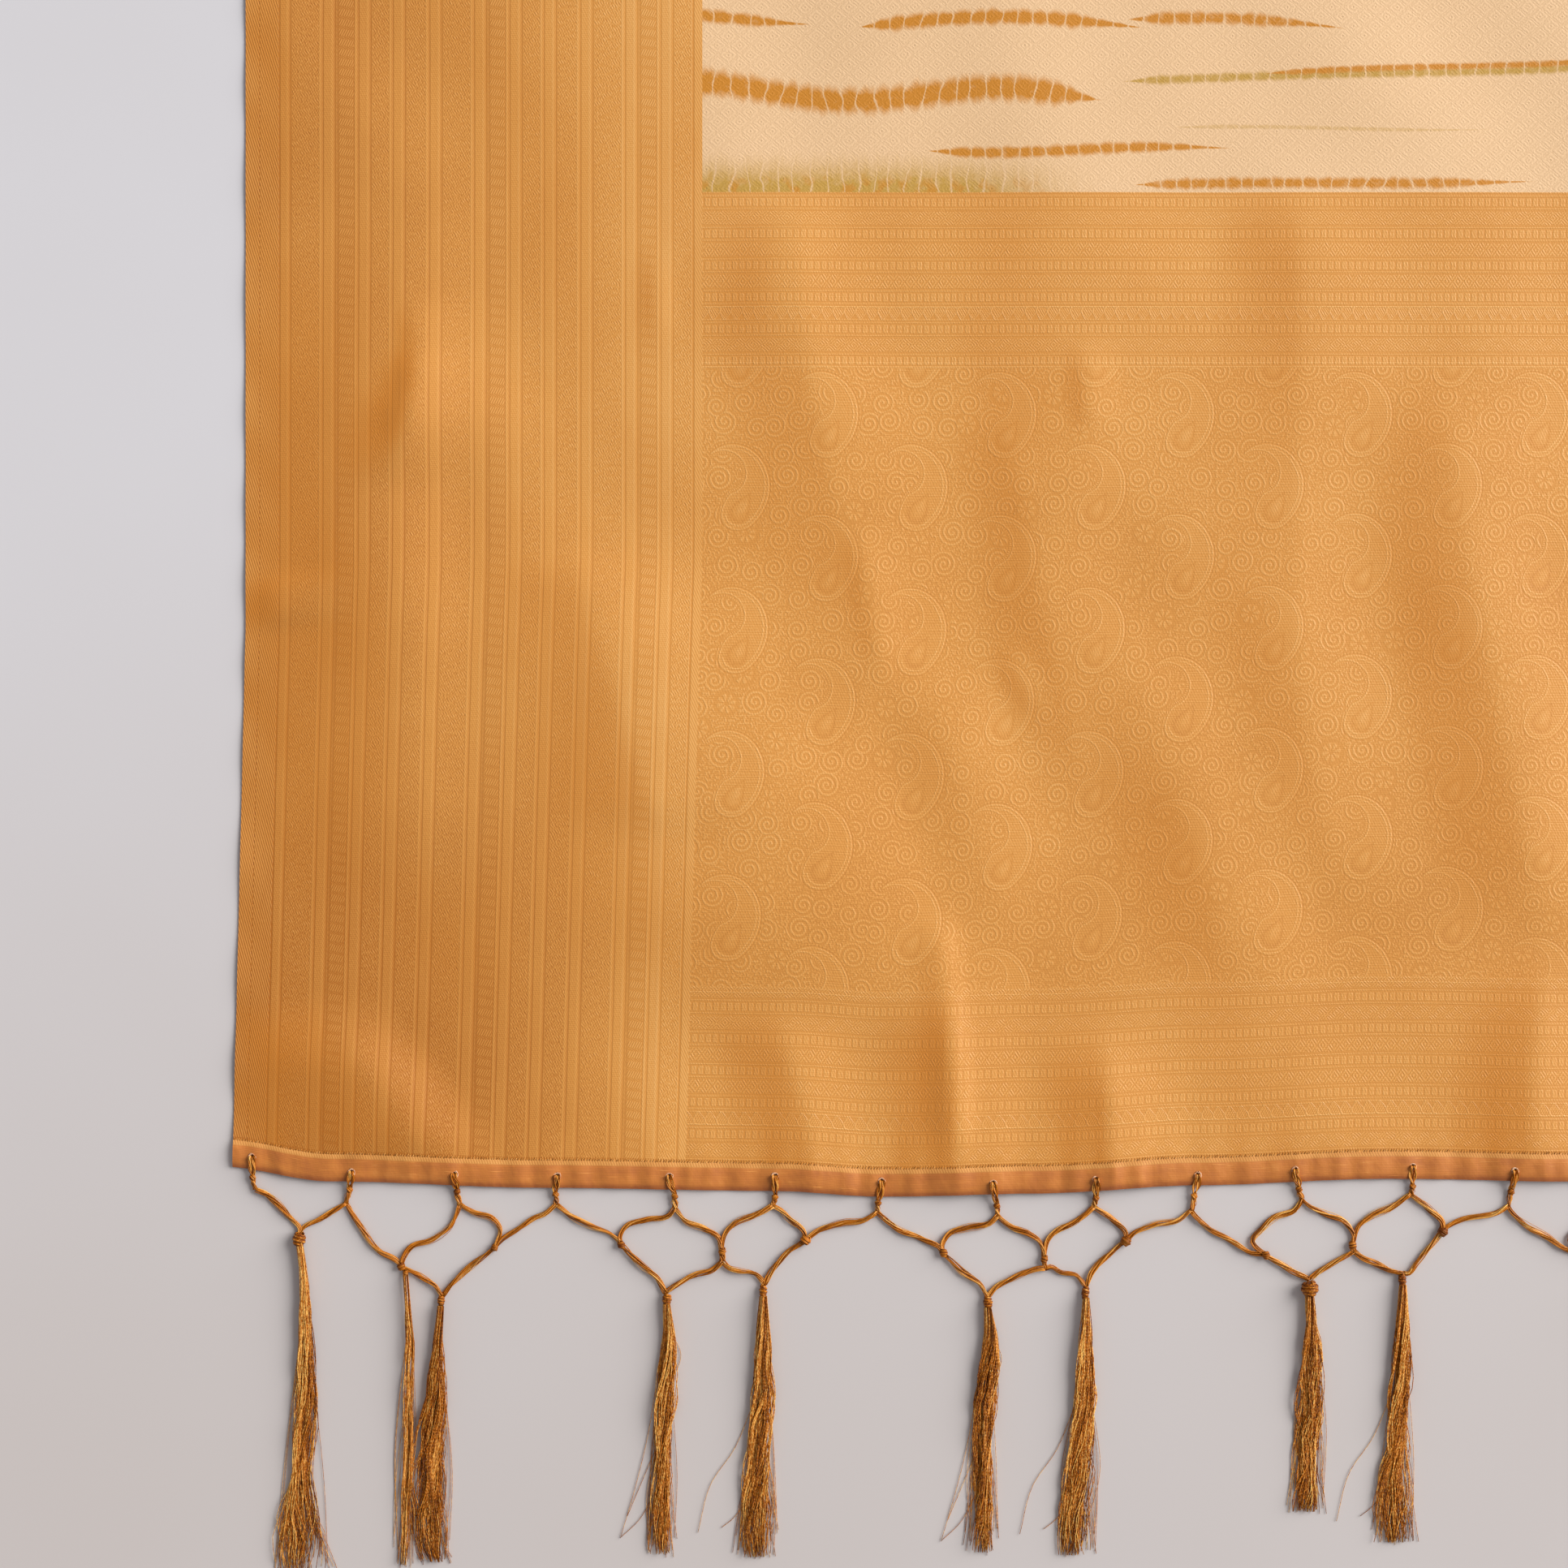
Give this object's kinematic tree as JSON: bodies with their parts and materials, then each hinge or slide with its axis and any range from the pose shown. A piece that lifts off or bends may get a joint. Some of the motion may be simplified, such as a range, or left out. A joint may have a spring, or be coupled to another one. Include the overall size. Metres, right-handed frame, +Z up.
{
  "type": "saree",
  "caption": "Woven silk-blend saree laid flat, with wide patterned borders, a patterned end panel and a knotted tassel fringe.",
  "frame": {"origin": "under the middle of the whole laid part, fringe included, on the surface that it lies on", "axes": "+Z up from that surface, +Y along the cloth from the fringed end to the inner end, +X to the right as seen from above"},
  "size_m": [1.1128, 5.694, 0.0067],
  "materials": {
    "border": "satin golden weave with vertical stripes",
    "pallu": "satin golden weave with tone-on-tone paisleys",
    "field": "soft cream weave with tie-dyed stripes",
    "hem": "plain turned and stitched weave",
    "fringe": "glossy loose silk thread"
  },
  "bodies": {
    "root": {"border_left": "border", "border_right": "border", "pallu": "pallu", "field": "field", "fringe_hem": "hem", "end_hem": "hem", "tie_01": "fringe", "tie_02": "fringe", "tie_03": "fringe", "tie_04": "fringe", "tie_05": "fringe", "tie_06": "fringe", "tie_07": "fringe", "tie_08": "fringe", "tie_09": "fringe", "tie_10": "fringe", "tie_11": "fringe", "tie_12": "fringe", "tie_13": "fringe", "tie_14": "fringe", "tie_15": "fringe", "tie_16": "fringe", "tie_17": "fringe", "tie_18": "fringe", "tie_19": "fringe", "tie_20": "fringe", "tie_21": "fringe", "tie_22": "fringe", "net_01": "fringe", "net_02": "fringe", "net_03": "fringe", "net_04": "fringe", "net_05": "fringe", "net_06": "fringe", "net_07": "fringe", "tassel_01": "fringe", "tassel_02": "fringe", "tassel_03": "fringe", "tassel_04": "fringe", "tassel_05": "fringe", "tassel_06": "fringe", "tassel_07": "fringe", "tassel_08": "fringe", "tassel_09": "fringe", "tassel_10": "fringe", "tassel_11": "fringe", "tassel_12": "fringe", "tassel_13": "fringe", "tassel_14": "fringe", "tassel_thin": "fringe"}
  },
  "joints": []
}
